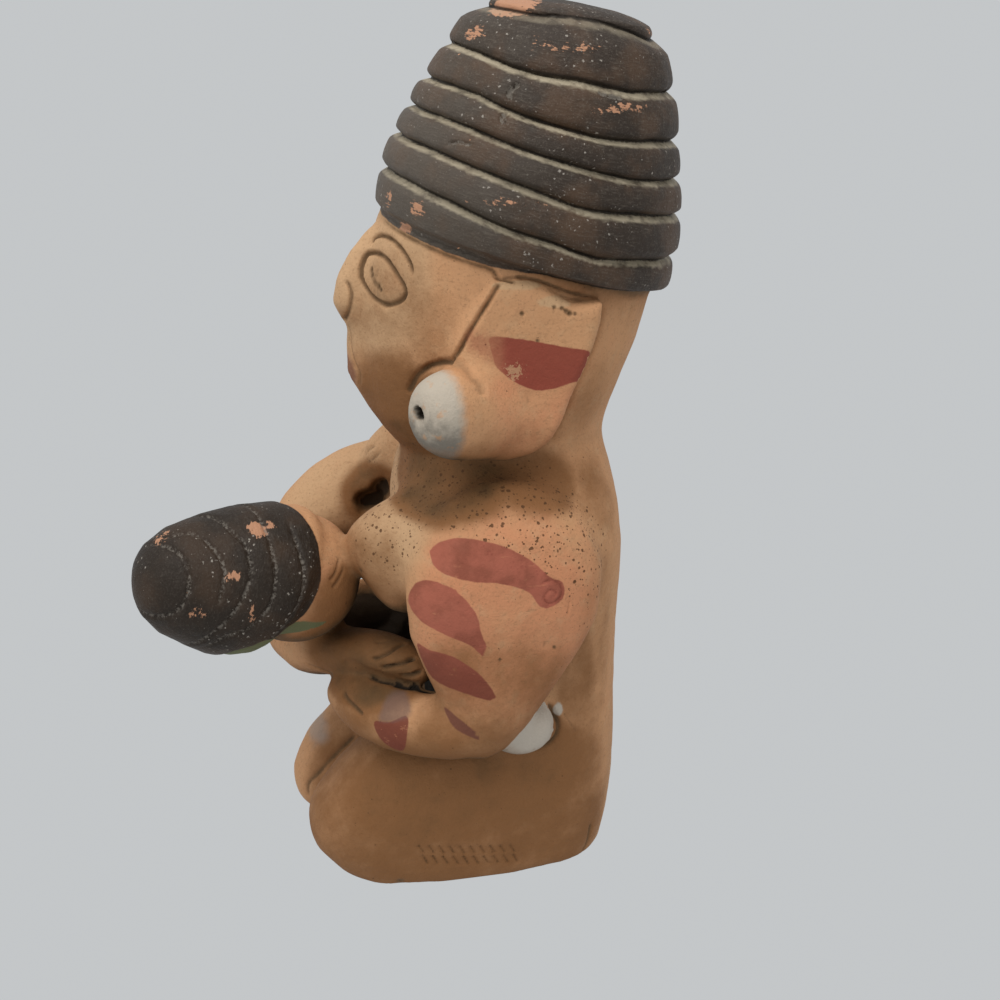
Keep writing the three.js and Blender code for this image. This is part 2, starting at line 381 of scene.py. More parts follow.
def outlineAt(form, share):
    return form["radius"] * np.interp(share, *zip(*form["widths"]))


def aroundTurban(points):
    # Where points lie on the turban: the share of its height, the angle in degrees, the radius
    x, y, z = points.T
    rimY, rimZ = turban["rim"]
    share = (z - rimZ) / turban["height"]
    for _ in range(8):
        tilt = turbanTilt(np.clip(share, -0.3, 1.1))
        share = (z - rimZ + (y - rimY) * np.tan(tilt)) / (turban["height"] + turban["lean"] * np.tan(tilt))
    across = (y - rimY - turban["lean"] * share) / np.cos(tilt)
    return share, np.degrees(np.arctan2(across, x)), np.hypot(x, across)


def onTurban(share, angle, radius):
    tilt = turbanTilt(share)
    across = radius * np.sin(np.radians(angle))
    rimY, rimZ = turban["rim"]
    x = radius * np.cos(np.radians(angle))
    y = rimY + turban["lean"] * share + across * np.cos(tilt)
    z = rimZ + turban["height"] * share - across * np.sin(tilt)
    return np.stack([x, y, z], axis=1)


def levelAt(steps, angle):
    return np.interp(angle, *zip(*steps), period=360)


def coilPlace(share, angle):
    # Which part of its coil a point is on, from 0 at its lower edge to 1, and the coil's number
    edges = [levelAt(coilRim, angle)] + [levelAt(furrow, angle) for furrow in coilFurrows]
    edges.append(np.full_like(share, 1.06))
    part = np.full_like(share, -1.0)
    coil = np.zeros(len(share), int)
    for number, (low, high) in enumerate(zip(edges, edges[1:])):
        inside = (share >= low) & (share < high)
        part[inside] = ((share - low) / (high - low))[inside]
        coil[inside] = number
    return part, coil


def shapeTurban(piece):
    points = readPoints(piece)
    share, angle, radius = aroundTurban(points)
    outline = outlineAt(turban, share)
    skin = (share > -0.02) & (share < 0.985) & (radius > outline - 7) & (radius < outline + 5)
    spots = points[skin]
    wander = 0.005 * softNoise(spots, 17) + 0.004 * softNoise(spots, 6, 3.1)
    part, coil = coilPlace(share[skin] + wander, angle[skin])
    lower = np.clip(1 - part / 0.24, 0, 1) ** 2
    upper = np.clip((part - 0.74) / 0.26, 0, 1) ** 1.8
    crownEase = ease((0.985 - share[skin]) / 0.03)
    notch = turban["notch"] * (1 - 0.35 * (coil >= 5)) * np.maximum(lower, upper)
    notch *= 1 + 0.22 * softNoise(spots, 11, 8.4)
    belly = turban["belly"] * np.sin(np.pi * np.clip(part, 0, 1)) + 0.35 * softNoise(spots, 14, 5.2)
    shaped = outline[skin] - notch + belly
    shaped = np.where(part < 0, radius[skin], shaped)
    held = crownEase * ease((share[skin] + 0.02) / 0.03)
    shaped = radius[skin] + (shaped - radius[skin]) * held
    points[skin] = onTurban(share[skin], angle[skin], shaped)
    writePoints(piece, points)
    print("turban coiled")


# Cap of the child: a smooth pointed cap with a spiral scratched round it

cap = {
    "face": (11, -60, 105),  # middle of the child's face
    "crown": (0.34, -0.91, 0.22),
    "edge": 7,
    "length": 45,
    "radius": 24.6,
    "slant": 22,
    "widths": [(0, 0.98), (0.2, 1), (0.4, 0.95), (0.6, 0.84), (0.78, 0.68), (0.9, 0.48), (0.97, 0.28),
               (1, 0.1)],
    "step": 0.7,  # how far the cap's edge stands above the face
    "tip": 2.4,  # what the rubbing took off its point
}

capRim = [(98, 0.177), (66, 0.110), (40, 0.029), (21, -0.05), (1, -0.08), (-14, -0.09), (-25, -0.06),
          (-34, 0.085), (-47, 0.286)]
capRim += [(-90, 0.35), (-135, 0.3), (-180, 0.2), (135, 0.2)]

capScratches = [
    [(69, 0.242), (41, 0.182), (22, 0.114), (1, 0.063), (-14, 0.064), (-32, 0.099), (-47, 0.27)],
    [(150, 0.44), (103, 0.405), (67, 0.386), (42, 0.349), (25, 0.311), (3, 0.279), (-19, 0.339),
     (-32, 0.456), (-60, 0.53)],
    [(120, 0.66), (88, 0.612), (62, 0.556), (47, 0.497), (20, 0.460), (-10, 0.507), (-47, 0.594),
     (-80, 0.62)],
    [(93, 0.884), (73, 0.759), (53, 0.683), (28, 0.62), (-4, 0.61)],
    [(120, 0.93), (80, 0.905), (60, 0.862), (42, 0.825), (20, 0.803), (-1, 0.806), (-22, 0.842),
     (-42, 0.905), (-80, 0.94), (-120, 0.945)],
    [(-100, 0.5), (-130, 0.47), (-170, 0.45), (-200, 0.42)],
    [(-100, 0.72), (-135, 0.7), (-175, 0.69), (-215, 0.68)],
]


def capAxes():
    crown = Vector(cap["crown"]).normalized()
    side = Vector((0, 0, 1)).cross(crown).normalized()
    return np.array([crown, side, crown.cross(side)])


def aroundCap(points):
    # The share of the cap's length, the angle (90 on top, 0 towards her left) and the radius
    length, wide, high = (capAxes() @ (points - cap["face"]).T)
    slant = math.tan(math.radians(cap["slant"]))
    share = (length - cap["edge"] + high * slant) / (cap["length"] + high * slant)
    return share, np.degrees(np.arctan2(high, wide)), np.hypot(wide, high)


def onCap(share, angle, radius):
    wide = radius * np.cos(np.radians(angle))
    high = radius * np.sin(np.radians(angle))
    slant = math.tan(math.radians(cap["slant"]))
    length = cap["edge"] + cap["length"] * share - high * slant * (1 - share)
    return np.stack([length, wide, high], axis=1) @ capAxes() + cap["face"]


def shapeCap(piece):
    points = readPoints(piece)
    share, angle, radius = aroundCap(points)
    outline = outlineAt(cap, share)
    rim = levelAt(capRim, angle)
    nearSkin = (radius > outline - 4) & (radius < outline + 4)
    skin = (share > 0.04) & (share < 0.97) & nearSkin & (points[:, 1] < -55)
    swell = 0.35 * softNoise(points[skin], 13, 2.2)
    pastRim = (share[skin] - rim[skin]) * cap["length"]
    shaped = outline[skin] + swell - cap["step"] * (1 - ease(pastRim / 0.8 + 0.5))
    held = ease((share[skin] - 0.04) / 0.06) * ease((0.97 - share[skin]) / 0.05)
    shaped = radius[skin] + (shaped - radius[skin]) * held
    points[skin] = onCap(share[skin], angle[skin], shaped)
    tip = (radius < 26) & (share > 0.5) & (share < 1.2) & (points[:, 1] < -70)
    drawn = ease((share - 0.55) / 0.45) * tip
    points += capAxes()[0] * cap["tip"] * drawn[:, None]
    writePoints(piece, points)
    print("cap shaped")


# Lines cut into the clay. Each has its corners on the surface, half width, depth, raised lip, and
# whether the same line is cut on her other side. The corners were picked in the photo and cast onto
# the solid, some then moved.

# The darkness given to each line is dirt in the cut and painted shade in the groove, darkest as painted
# shadow in the gaps under the hand and round the foot.
cuts = [
    {"name": "brow", "width": 0.8, "depth": 1.3, "lip": 0.6, "dirtAndShade": 1.1, "both": True,
     "corners": [(3.8, -30.5, 210.2), (5, -29, 213.2), (9.7, -27.7, 214.5), (15.1, -25.8, 214.2),
                 (19.7, -24.3, 212.9), (23, -22.9, 210.9), (25.8, -22, 208.3), (26.9, -21.6, 205.2)]},
    {"name": "eye", "width": 0.9, "depth": 1.5, "lip": 0.7, "dirtAndShade": 1.12, "both": True, "closed": True,
     "corners": [(10, -29.9, 209.3), (4.6, -31.6, 207.9), (4.4, -33.3, 204.2), (5.4, -33.5, 200.6),
                 (10.5, -32.8, 197.7), (15.7, -31, 196.3), (20.2, -28.7, 195.9), (24.2, -25.8, 197.7),
                 (25.6, -24.3, 199.7), (25, -24.1, 202), (23, -25, 204), (20, -26.5, 206.5),
                 (15.8, -27.9, 208.6)]},
    {"name": "nose wing", "width": 0.8, "depth": 1.0, "lip": 0.2, "both": True,
     "corners": [(4, -39.8, 199.9), (5.6, -38.3, 199), (6.5, -37.6, 196.3), (7.2, -38.1, 193.1),
                 (5.8, -39.1, 189.4), (0.9, -40, 186.4)]},
    {"name": "cheek fold", "width": 0.6, "depth": 0.5, "lip": 0.1, "both": True,
     "corners": [(3, -40, 186), (4, -39.5, 181), (6, -38.3, 176), (8.3, -36.6, 171.8), (7.5, -36, 168.5),
                 (5.2, -36, 165.5)]},
    {"name": "ear front", "width": 0.95, "depth": 1.9, "lip": 0.9, "dirtAndShade": 0.98, "both": True,
     "blunt": True,
     "corners": [(42, 0.9, 205.4), (42.2, -2.1, 200.7), (41.8, -4.9, 196.5), (41.3, -8.2, 191.2),
                 (41, -10.5, 186.8), (40.2, -13, 183.1)]},
    {"name": "tube crease", "width": 1.0, "depth": 1.9, "lip": 0.4, "dirtAndShade": 0.95, "both": True,
     "blunt": True,
     "corners": [(40.2, -13, 183.1), (36.5, -14, 182), (33.7, -15.1, 180.9), (32, -18.2, 179.3),
                 (29.2, -21.4, 175.8), (27.1, -23.3, 171)]},
    {"name": "tube hollow", "width": 2.0, "depth": 0.9, "lip": 0, "dirtAndShade": 0.5, "both": True,
     "corners": [(40.2, -13, 183.1), (43, -10, 182), (47.8, -8.1, 180.9), (49.8, -6.1, 178.4),
                 (52, -5.8, 175.4)]},
    {"name": "ear top", "width": 0.6, "depth": 0.8, "lip": 0.7, "dirtAndShade": 0.8, "both": True,
     "corners": [(41, 0.5, 207.8), (41, 5.5, 207.6), (41, 10, 207), (41, 15, 205.4), (40.8, 19, 203.6),
                 (40, 24, 201.4), (38.6, 31, 200)]},
    {"name": "ear rear", "width": 1.3, "depth": 1.2, "lip": 0, "dirtAndShade": 0.6, "both": True,
     "corners": [(37.5, 34, 198), (36.9, 34, 194), (36.6, 33, 187), (36.5, 31.5, 181.5), (36.4, 29, 176),
                 (36.3, 26, 170.7), (34.8, 24, 163.7), (32.8, 21, 157), (30.6, 18.5, 151.5)]},
    {"name": "foot rim", "width": 0.8, "depth": 1.5, "lip": 0, "dirtAndShade": 1.2,
     "corners": [(40.6, 17, 66.5), (40.3, 19.5, 62), (40.3, 21.5, 57.5), (40.5, 21, 53),
                 (41.5, 17.5, 50.2), (43.5, 12, 49.2), (45, 5, 49), (46, -1, 50)]},
    {"name": "rear corner", "width": 0.8, "depth": 1.0, "lip": 0.1, "dirtAndShade": 1.1,
     "corners": [(36, 35.5, 13.8), (36, 35.3, 8.8), (35, 34.4, 4.2), (36, 33, 0.5)]},
    {"name": "near hand", "width": 0.9, "depth": 1.3, "lip": 0.3,
     "corners": [(25.3, -47.6, 69.6), (28.4, -47, 68.3), (32.8, -45.3, 67.6), (37.2, -42.6, 66.1)]},
    {"name": "hand edge", "width": 1.5, "depth": 0.5, "lip": 0.2, "dirtAndShade": 0.3,
     "corners": [(19.4, -47.3, 76.7), (23.8, -42.9, 77.5), (26.5, -38.3, 76.4), (30, -33.8, 76.2)]},
    {"name": "under the hand", "width": 0.9, "depth": 1.2, "lip": 0, "dirtAndShade": 1.5,
     "corners": [(25, -38.8, 74), (28.5, -35.5, 73.2), (31, -32.2, 73.4), (34.5, -28, 73.6),
                 (37.5, -24, 74.5)]},
    {"name": "under the hand", "width": 1.5, "depth": 1.0, "lip": 0, "dirtAndShade": 2.0,
     "corners": [(31, -32.2, 73.4), (34.5, -28, 73.6), (37.5, -24, 74.5), (39.5, -20, 75.5),
                 (40, -17, 76)]},
    {"name": "finger", "width": 0.5, "depth": 0.7, "lip": 0.2,
     "corners": [(24.7, -35.9, 85.2), (24.3, -34.2, 85.6), (24.7, -31.9, 85.9)]},
    {"name": "finger", "width": 0.8, "depth": 1.6, "lip": 0.4, "dirtAndShade": 1.2,
     "corners": [(28.4, -38.4, 81.2), (29.6, -36.5, 82.4), (30.1, -34, 83.8), (29.7, -31.7, 84.8),
                 (28.4, -29.6, 85.3), (26.3, -26.3, 85)]},
    {"name": "finger", "width": 0.8, "depth": 1.8, "lip": 0.4, "dirtAndShade": 1.3,
     "corners": [(30.4, -35.6, 78.8), (32, -33.8, 79.7), (34, -31.5, 81.2), (34.6, -28.9, 82.3),
                 (34.1, -26.3, 83.2), (33.3, -23.9, 83.3)]},
    {"name": "finger", "width": 0.9, "depth": 1.8, "lip": 0.4, "dirtAndShade": 1.3,
     "corners": [(33.8, -30, 77), (36.5, -26.7, 78.2), (37.4, -24.6, 79.4), (37.1, -22.3, 79.7)]},
    {"name": "wrist", "width": 0.8, "depth": 0.8, "lip": 0.2,
     "corners": [(5.6, -57.8, 70), (8.3, -54.7, 69.5), (11, -51.5, 68.7), (15.9, -49.5, 69.6)]},
    {"name": "arm mark", "width": 0.6, "depth": 0.7, "lip": 0.2,
     "corners": [(-44, -30, 124.5), (-40.2, -28.7, 127.9), (-37.6, -26.5, 130.5)]},
    {"name": "arm mark", "width": 0.6, "depth": 0.7, "lip": 0.2,
     "corners": [(-41, -30.5, 123), (-37.9, -27.7, 124.9), (-35.1, -25.1, 128.7)]},
    {"name": "arm scratch", "width": 0.35, "depth": 0.4, "lip": 0,
     "corners": [(57, 20.1, 110.4), (58, 19.4, 105.5)]},
    {"name": "side scratch", "width": 0.4, "depth": 0.4, "lip": 0.1,
     "corners": [(40, 23, 61.2), (39, 28.2, 52.2)]},
    {"name": "knees", "width": 1.0, "depth": 1.2, "lip": 0,
     "corners": [(-5.8, -40, 34.5), (-5.9, -44.5, 30), (-6.3, -50, 24), (-7.2, -54.5, 18.5),
                 (-9, -57.4, 14), (-10, -57, 8)]},
    {"name": "child's face", "width": 0.6, "depth": 0.8, "lip": 0.4, "dirtAndShade": 0.5,
     "corners": [(23.6, -46.2, 116), (25.6, -47.2, 113.6), (27.2, -48.6, 111.6), (28.4, -50.6, 110.6)]},
    {"name": "child's face", "width": 0.6, "depth": 0.7, "lip": 0.4, "dirtAndShade": 0.5,
     "corners": [(24.1, -44.9, 113), (26, -45.8, 111.2), (27.8, -47.6, 109.4), (28.8, -49.8, 108)]},
    {"name": "scribble", "width": 0.42, "depth": 0.55, "lip": 0.3, "dirtAndShade": 0.8,
     "corners": [(58, 10, 117), (58, 14, 118), (57.5, 17, 115.5), (58, 17, 112), (58.5, 13.5, 110.5),
                 (58.7, 11.5, 112.5), (58.5, 13.5, 115), (58.2, 15.5, 113.5), (58.5, 14, 111.8)]},
    {"name": "child at the breast", "width": 1.8, "depth": 0.6, "lip": 0, "dirtAndShade": 0.25,
     "corners": [(26.8, -41, 121.2), (25.7, -42, 117.1), (26.1, -41.2, 113.7), (27.5, -40.2, 111.8)]},
]

# Short marks across the turban's coils, as angle and share of its height
coilMarks = [
    {"width": 0.8, "depth": 1.2, "lip": 0.3, "dirtAndShade": 1.4,
     "corners": [(5, 0.704), (12, 0.698), (19, 0.697)]},
    {"width": 0.8, "depth": 1.3, "lip": 0.3, "dirtAndShade": 1.5,
     "corners": [(-30, 0.668), (-33, 0.63), (-32, 0.598)]},
    {"width": 0.8, "depth": 1.3, "lip": 0.3, "dirtAndShade": 1.5,
     "corners": [(-32, 0.565), (-33, 0.53), (-31, 0.505)]},
    {"width": 0.6, "depth": 0.8, "lip": 0.1, "dirtAndShade": 1.0,
     "corners": [(-52, 0.37), (-47, 0.39), (-41, 0.392)]},
    {"width": 0.5, "depth": 0.7, "lip": 0.1, "corners": [(120, 0.5), (128, 0.47), (131, 0.45)]},
]

# Two rows of slanted strokes low on her left side
strokes = {
    "x": 42, "from": (-26, 15.8), "to": (8.4, 11.4), "count": 10, "height": 3.0, "rowGap": 4.2,
    "slant": 1.5,
    "groove": {"width": 0.5, "depth": 0.7, "lip": 0.15, "dirtAndShade": 0.5, "blunt": True},
}
rimGroove = {"width": 0.8, "depth": 1.0, "lip": 0.3, "dirtAndShade": 0.8}
capGroove = {"width": 0.85, "depth": 0.85, "lip": 0.15, "dirtAndShade": 0.62}

# Small pits and knocks: place, radius and depth. Each is darkened too, dirt in it and painted shade
# together.
pits = [
    (9.6, -31.8, 204.2, 1.2, 1.4), (10.8, -31.4, 202.9, 1.1, 1.3), (12.4, -30.9, 201.6, 1.0, 1.2),
    (13.6, -30.4, 200.8, 1.0, 1.1), (15.4, -29.8, 200.3, 1.1, 1.3), (16.6, -29.4, 199.6, 0.9, 1.0),
    (13.2, -30.6, 204.4, 0.9, 0.8), (15.6, -29.6, 202.6, 0.8, 0.8), (-12, -31, 203, 1.1, 1.0),
    (-16, -29.8, 201.6, 0.9, 0.8), (-13.4, -30.5, 201.4, 0.8, 0.7), (43.6, 7.6, 197.2, 0.7, 0.7),
    (44.2, 12.2, 188.9, 0.6, 0.5), (45, 16.8, 198.9, 0.6, 0.5), (59, 12, 96.6, 0.6, 0.5),
    (58, 15.4, 94.8, 0.5, 0.4), (60, -2.3, 93.6, 0.6, 0.5), (40, -32.3, 1.6, 1.5, 0.6),
    (45.3, 19.2, 198.6, 0.7, 0.8), (45.5, 20.4, 197.8, 0.8, 1.1), (45.6, 21.4, 197, 0.9, 1.2),
    (45.6, 23, 196.9, 0.6, 0.5), (27, -40, 112.6, 1.0, 1.2),
]

# Low swellings: the eyes' balls, the broken clay in them, the nose's tip, the ears' rims and the
# knob on the crown: place, radius and height
swellings = [
    (13.5, -30.6, 202.6, 5.5, 1.1), (-13.5, -30.6, 202.6, 5.5, 1.1), (12.4, -31.2, 200.6, 1.3, 0.5),
    (-12.4, -31.2, 200.6, 1.3, 0.5), (15.5, -29.8, 202.9, 0.9, 0.5), (0, -43, 193, 4.5, 0.9),
    (23.5, -39.8, 108, 5, 2), (43, 2, 204.8, 1.8, 0.8), (43.2, 6, 204.9, 1.7, 0.7),
    (43.5, 10.5, 204, 1.8, 0.8), (44.2, 14, 202.2, 1.6, 0.7), (45, 17, 200.2, 1.6, 0.8),
    (45.6, 20.5, 198.4, 1.3, 0.5), (46, 24.5, 198.5, 1.8, 0.7), (6, 10.5, 281, 2.2, 1.6),
    (9.5, 11, 281, 1.6, 1.3), (12, 13, 281, 2.2, 1.1),
]

# The dark hollow between the right arm and the chest, one under the breast, and the deep ends of the gaps
# behind the child and the hand, all painted dark as shade: place, radius, depth and how dark the shade is
# painted
shadedHollows = [
    (-36.8, -29.5, 109.5, 5.6, 8, 1.5), (-36.5, -26, 114, 4.4, 4, 1.5), (-7, -33, 82, 15, 5, 1.55),
    (-11, -23, 71, 11, 0, 1.6), (8, -16.5, 58, 10, 0, 2.2), (25.5, -40, 105.5, 4, 0, 1.2),
]


def cutLine(points, tree, cut, corners, depthMap, grimeAndShadeMap):
    path = smoothPath(corners, cut.get("closed", False))
    path = np.array([tree.find_nearest(spot * mm)[0] for spot in path]) / mm
    reach = 4.5 * cut["width"]  # past this the groove and its lip are level with the clay
    near, gap, along = nearPath(points, path, reach)
    whole = cut.get("closed") or cut.get("blunt")
    ends = 1 if whole else ease(np.minimum(along, 1 - along) / 0.12 + 0.15)
    wobble = 1 + 0.25 * softNoise(points[near], 4, 1.7)
    groove = np.exp(-((gap / cut["width"]) ** 2)) * ends * wobble
    lip = np.exp(-(((gap - 2.1 * cut["width"]) / (0.8 * cut["width"])) ** 2)) * ends
    depthMap[near] = np.maximum(depthMap[near], cut["depth"] * groove)
    depthMap[near] -= np.where(groove < 0.3, cut["lip"] * lip, 0)
    dirtAndShade = cut.get("dirtAndShade", min(1, 0.35 + 0.5 * cut["depth"]))
    grimeAndShadeMap[near] = np.maximum(grimeAndShadeMap[near], groove * dirtAndShade)


# The stick holes in the ends of the rolled tubes, their insides painted near black as shade
hole = {"end": (50.4, -24.6, 171.3), "inward": (-0.5, 0.86, 0), "radius": 1.9, "depth": 6}


def pokeHoles(points, grimeAndShade):
    for side in (1, -1):
        start = np.array(hole["end"]) * (side, 1, 1)
        inward = np.array(hole["inward"]) * (side, 1, 1)
        away = points - start
        deep = away @ inward
        gap = np.linalg.norm(away - deep[:, None] * inward, axis=1)
        gap = np.where(np.abs(deep) < 6, gap, 99)
        inside = 1 - ease((gap - hole["radius"] + 0.5) / 0.8)
        points += inward * (hole["depth"] * inside)[:, None]
        grimeAndShade[:] = np.maximum(grimeAndShade, 2.2 * inside)


def cutClay(piece):
    points = readPoints(piece)
    normals = readNormals(piece)
    tree = BVHTree.FromObject(piece, bpy.context.evaluated_depsgraph_get())
    depth = np.zeros(len(points))
    grimeAndShade = np.zeros(len(points))
    for cut in cuts:
        corners = np.array(cut["corners"], float)
        cutLine(points, tree, cut, corners, depth, grimeAndShade)
        if cut.get("both"):
            cutLine(points, tree, cut, corners * (-1, 1, 1), depth, grimeAndShade)
    (startY, startZ), (endY, endZ) = strokes["from"], strokes["to"]
    for row in range(2):
        for number in range(strokes["count"]):
            share = (number + 0.35 * row) / strokes["count"]
            y = startY + (endY - startY) * share
            z = startZ + (endZ - startZ) * share - row * strokes["rowGap"]
            half = strokes["height"] / 2
            corners = [(strokes["x"], y, z + half), (strokes["x"], y + strokes["slant"], z - half)]
            cutLine(points, tree, strokes["groove"], corners, depth, grimeAndShade)
    rimAngles = np.arange(-100, 261, 8.0)
    rimRadius = np.full(len(rimAngles), turban["radius"] - 1.5)
    rimLine = onTurban(levelAt(coilRim, rimAngles) - 0.012, rimAngles, rimRadius)
    cutLine(points, tree, rimGroove, rimLine, depth, grimeAndShade)
    for mark in coilMarks:
        angles, levels = np.array(mark["corners"], float).T
        corners = onTurban(levels, angles, outlineAt(turban, levels))
        cutLine(points, tree, mark, corners, depth, grimeAndShade)
    for scratch in capScratches:
        angles, levels = np.array(scratch, float).T
        corners = onCap(levels, angles, outlineAt(cap, levels))
        cutLine(points, tree, capGroove, corners, depth, grimeAndShade)
    for x, y, z, radius, deep in pits:
        spot = np.array(tree.find_nearest(Vector((x, y, z)) * mm)[0]) / mm
        gap = distance(points, spot)
        pit = np.exp(-((gap / radius) ** 2))
        depth = np.maximum(depth, deep * pit)
        grimeAndShade = np.maximum(grimeAndShade, 1.35 * pit)
    for x, y, z, radius, high in swellings:
        gap = distance(points, (x, y, z))
        depth -= high * np.exp(-((gap / radius) ** 2))
    for x, y, z, radius, deep, dirtAndShade in shadedHollows:
        gap = distance(points, (x, y, z)) + 1.6 * softNoise(points, 5, 6.3)
        inside = 1 - ease((gap - radius + 2.5) / 3)
        depth = np.maximum(depth, deep * inside)
        grimeAndShade = np.maximum(grimeAndShade, dirtAndShade * ease((inside - 0.35) / 0.65))
    unevenness = 0.3 * softNoise(points, 15, 4.0) + 0.12 * softNoise(points, 5, 9.0)
    points += normals * (unevenness * ease(points[:, 2] / 4) - depth)[:, None]
    pokeHoles(points, grimeAndShade)
    points[:, 2] = np.maximum(points[:, 2], 0)
    writePoints(piece, points)
    keep(piece, "grimeAndShade", grimeAndShade)
    print("lines and pits cut")


# Where the mesh is halved: the face, ears, cap, turban, near hand, strokes, scribble and foot
finer = bothSides([17, -30, 203, 22, 16, 22, 1], [42, 8, 182, 18, 40, 44, 1])
finer += [
    [0, -38, 186, 16, 14, 34, 1],
    [17, -80, 108, 34, 42, 34, 1],
    [0, 24, 245, 66, 66, 54, 1],
    [30, -32, 78, 22, 26, 18, 1],
    [41, -10, 12, 10, 30, 14, 1],
    [58, 13, 114, 14, 14, 14, 1],
    [42, 16, 56, 14, 14, 20, 1],
]

statue = clayBody()
rubSmooth(statue)
refine(statue, finer)
shapeTurban(statue)
shapeCap(statue)
cutClay(statue)


def dropSpecks(piece):
    # A bubble inside the clay gets rubbed down to a speck, so only what joins the crown stays
    heights = readPoints(piece)[:, 2]
    selectPoints(piece, heights == heights.max())
    bpy.ops.mesh.select_linked()
    bpy.ops.mesh.select_all(action="INVERT")
    bpy.ops.mesh.delete(type="VERT")
    bpy.ops.object.mode_set(mode="OBJECT")


def thin(piece):
    triangles = sum(len(face.vertices) - 2 for face in piece.data.polygons)
    if triangles > clay["triangles"]:
        less = piece.modifiers.new("less", "DECIMATE")
        less.ratio = clay["triangles"] / triangles
        bpy.ops.object.modifier_apply(modifier=less.name)
    dropSpecks(piece)
    bpy.ops.object.mode_set(mode="EDIT")
    bpy.ops.mesh.select_all(action="SELECT")
    bpy.ops.mesh.quads_convert_to_tris()
    bpy.ops.mesh.normals_make_consistent(inside=False)
    bpy.ops.object.mode_set(mode="OBJECT")
    bpy.ops.object.shade_smooth()
    print("thinned to", len(piece.data.polygons), "triangles")


thin(statue)

# Painted areas, kept on the surface as how far inside each one a point lies, in millimetres. Their
# corners were picked in the photo and cast onto the solid.

farOff = -6  # a point well outside every painted edge
leaves = [
    [(49, -21.6, 125.9), (49, -20, 128.9), (52, -12.9, 131.8), (56, -1.4, 130), (57, 7.5, 124.9),
     (58, 13.5, 119.1), (57, 17.7, 116.4), (58, 17.8, 111.8), (59, 13.4, 109.4), (59, 10.2, 110),
     (59, 6.5, 115.3), (59, -2.1, 118.9), (57, -10.9, 119.5), (53, -19.3, 121.9)],
    [(48, -28.4, 110.9), (50, -26.4, 117.1), (53, -22.3, 119.2), (57, -15.4, 116.9), (59, -9.7, 110.1),
     (59, -7.8, 102.5), (60, -5.4, 95.5), (59, -7.5, 95), (59, -11.3, 99.1), (56, -18.6, 102.1),
     (52, -25.5, 105.8)],
    [(50, -26.3, 96.6), (54, -22.9, 96.2), (57, -15.8, 94.5), (59, -8.4, 88.8), (60, -3.8, 81.6),
     (60, -5.4, 79.9), (57, -14.3, 82.5), (54, -19.9, 84.4), (51, -23.2, 87.2)],
]
earBand = [(42.3, -1.4, 190.4), (43.3, 5.4, 189.9), (44.3, 12.9, 188.5), (45.4, 20.4, 186.9),
           (46.4, 28, 185.2), (46.6, 31, 181), (46.2, 27, 177.5), (45.6, 22, 175.8), (45, 18, 174.4),
           (44.4, 13.5, 173.7), (43.8, 9.5, 174.5), (43.2, 5.5, 176.4), (42.8, 2.3, 178.9),
           (42.5, 0, 181.4), (42.4, -0.8, 184.7), (42.3, -1.6, 187.7)]
earFaded = [(41.5, -7.4, 192.4), (42.3, -1.2, 190.6), (42.7, 1.5, 186.7), (42.5, 0.4, 181.7),
            (41.9, -4, 183.8), (41.4, -7.6, 187)]
forearmRed = [(41.3, -39.3, 65.8), (43.4, -37.2, 59.8), (46.3, -31.3, 57.1), (49.8, -30.1, 64.6),
              (47.4, -29.6, 70.3), (45.2, -34.7, 67.5)]
forearmGrey = [(43, -37.6, 66.6), (40.4, -36.2, 71.1), (37.2, -33.4, 73.4), (37.4, -29.2, 74.1),
               (43.2, -28.2, 73.6), (47.8, -29, 70.4)]
elbowLeaf = [(53, -18.8, 75.5), (54.6, -15.8, 73.2), (56.4, -12.6, 70.8), (57.9, -9, 67.8),
             (58.6, -2.8, 64), (57.9, -8, 65), (56.6, -12.6, 66.8), (54.8, -16.4, 69.6)]
# Where the slip is knocked off: place, half length, half height
scuffs = [
    (10, 11.5, 281, 9, 5), (13.3, 1.1, 272.8, 4, 1.5), (28.4, 17.3, 271.3, 2.5, 1.2),
    (31, 25.4, 269.8, 5, 0.7), (35.7, 37.7, 253.6, 7, 1), (43, 4.1, 229.3, 4, 0.6),
    (25.9, -18.8, 225.5, 3, 2.2), (12.3, -25, 225.6, 2.4, 2.6), (18.9, -22.3, 218.4, 2.6, 2),
    (11, 51, 272, 4, 1.2), (26.8, -71.5, 128.7, 3.2, 4), (24.5, -67.4, 129.4, 1.6, 2),
    (39.1, -80, 119.5, 2, 2), (41.3, -91.4, 109.7, 2, 1.6), (24.2, -99.6, 127.4, 3, 1.5),
    (40.8, -75, 108, 1.3, 3), (-20, -4, 262, 6, 1.4), (-40, 22, 236, 5, 1.2), (-12, 64, 232, 6, 1.4),
    (2, 60, 252, 5, 1.2), (-14, -86, 122, 3, 2.4), (-10, -100, 112, 2, 1.6),
]
paintFrom = Vector((0.88, -0.19, 0.44)).normalized()  # the side that these were painted from


